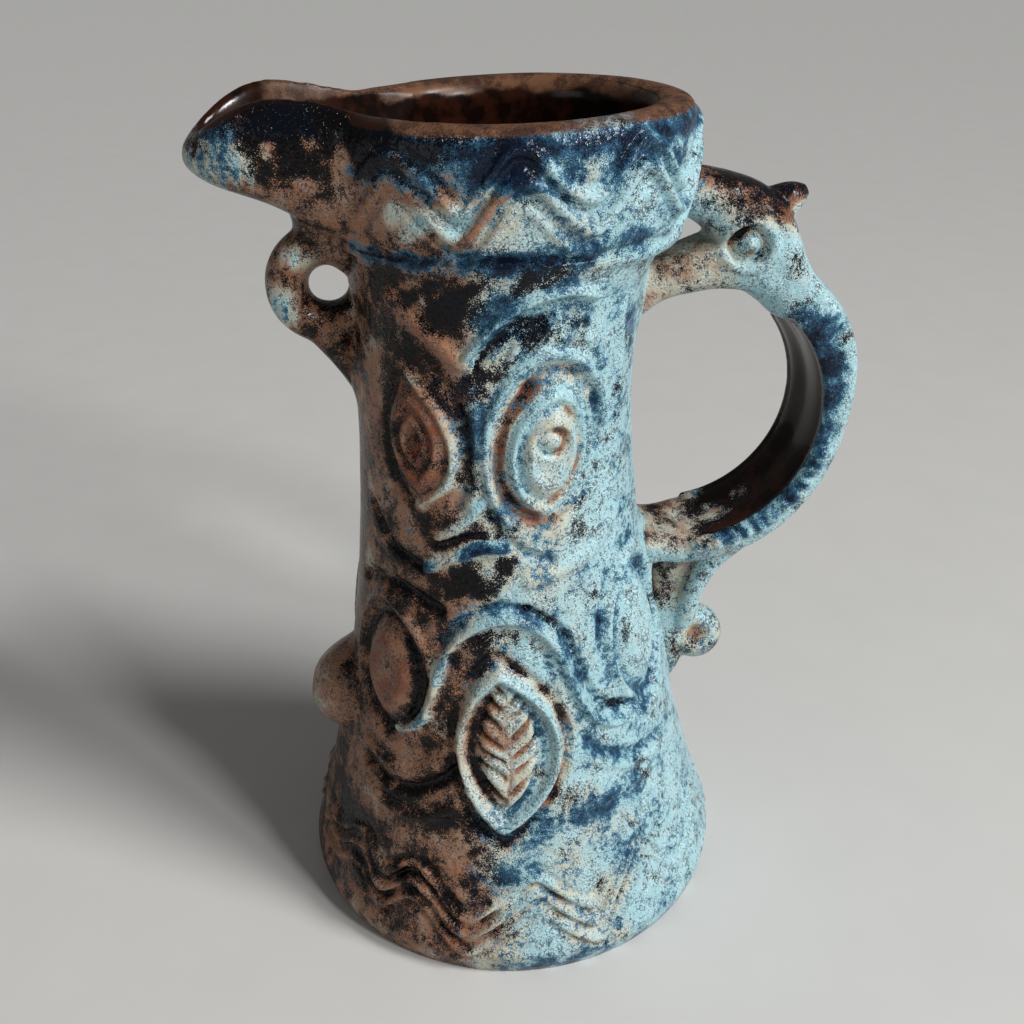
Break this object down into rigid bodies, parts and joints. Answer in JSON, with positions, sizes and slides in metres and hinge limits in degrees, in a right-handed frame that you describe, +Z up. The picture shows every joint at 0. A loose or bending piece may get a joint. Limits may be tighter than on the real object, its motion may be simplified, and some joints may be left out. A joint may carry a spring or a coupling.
{
  "type": "pouring jug",
  "caption": "Glazed stoneware pouring jug with a flared foot, waisted body, thick collar, drooping open spout, pierced ring lug and a strap handle shaped as a beast biting the rim.",
  "frame": {"origin": "centre of the foot's flat underside", "axes": "+Z up along the jug's axis, +X toward the handle, -X toward the spout"},
  "size_m": [0.1779, 0.131, 0.2426],
  "materials": {
    "pale_glaze": "satin, speckled",
    "blue_glaze": "gloss",
    "tan_glaze": "satin",
    "bare_clay": "matt, unglazed"
  },
  "bodies": {
    "root": {"base_disc": "bare_clay", "foot_wall": "pale_glaze", "body_wall": "pale_glaze", "collar": "blue_glaze", "spout": "blue_glaze", "ring_lug": "pale_glaze", "knob": "pale_glaze", "handle_strap": "pale_glaze", "beast_head": "pale_glaze", "lower_jaw": "pale_glaze", "horn": "tan_glaze", "eye_ring_front": "pale_glaze", "eye_ring_back": "pale_glaze", "eye_pellet_front": "tan_glaze", "eye_pellet_back": "tan_glaze", "tail_strap": "pale_glaze", "tail_scroll": "pale_glaze", "eye_medallion_front_spout": "pale_glaze", "eye_medallion_front_handle": "pale_glaze", "eye_medallion_back_spout": "pale_glaze", "eye_medallion_back_handle": "pale_glaze", "eye_boss_front_spout": "tan_glaze", "eye_boss_front_handle": "tan_glaze", "eye_boss_back_spout": "tan_glaze", "eye_boss_back_handle": "tan_glaze", "oval_frame_front_spout": "pale_glaze", "oval_frame_front_handle": "pale_glaze", "oval_frame_back_spout": "pale_glaze", "oval_frame_back_handle": "pale_glaze", "oval_boss_front_spout": "tan_glaze", "oval_boss_front_handle": "tan_glaze", "oval_boss_back_spout": "tan_glaze", "oval_boss_back_handle": "tan_glaze", "leaf_frame_front": "pale_glaze", "leaf_frame_back": "pale_glaze", "leaf_front": "tan_glaze", "leaf_back": "tan_glaze", "arch_coil_front": "blue_glaze", "arch_coil_back": "blue_glaze", "brow_front_spout": "blue_glaze", "brow_front_handle": "blue_glaze", "brow_back_spout": "blue_glaze", "brow_back_handle": "blue_glaze", "mouth_coil_front": "blue_glaze", "mouth_coil_back": "blue_glaze", "collar_wave_front": "pale_glaze", "collar_wave_back": "pale_glaze", "foot_wave_front": "pale_glaze", "foot_wave_back": "pale_glaze"}
  },
  "joints": []
}
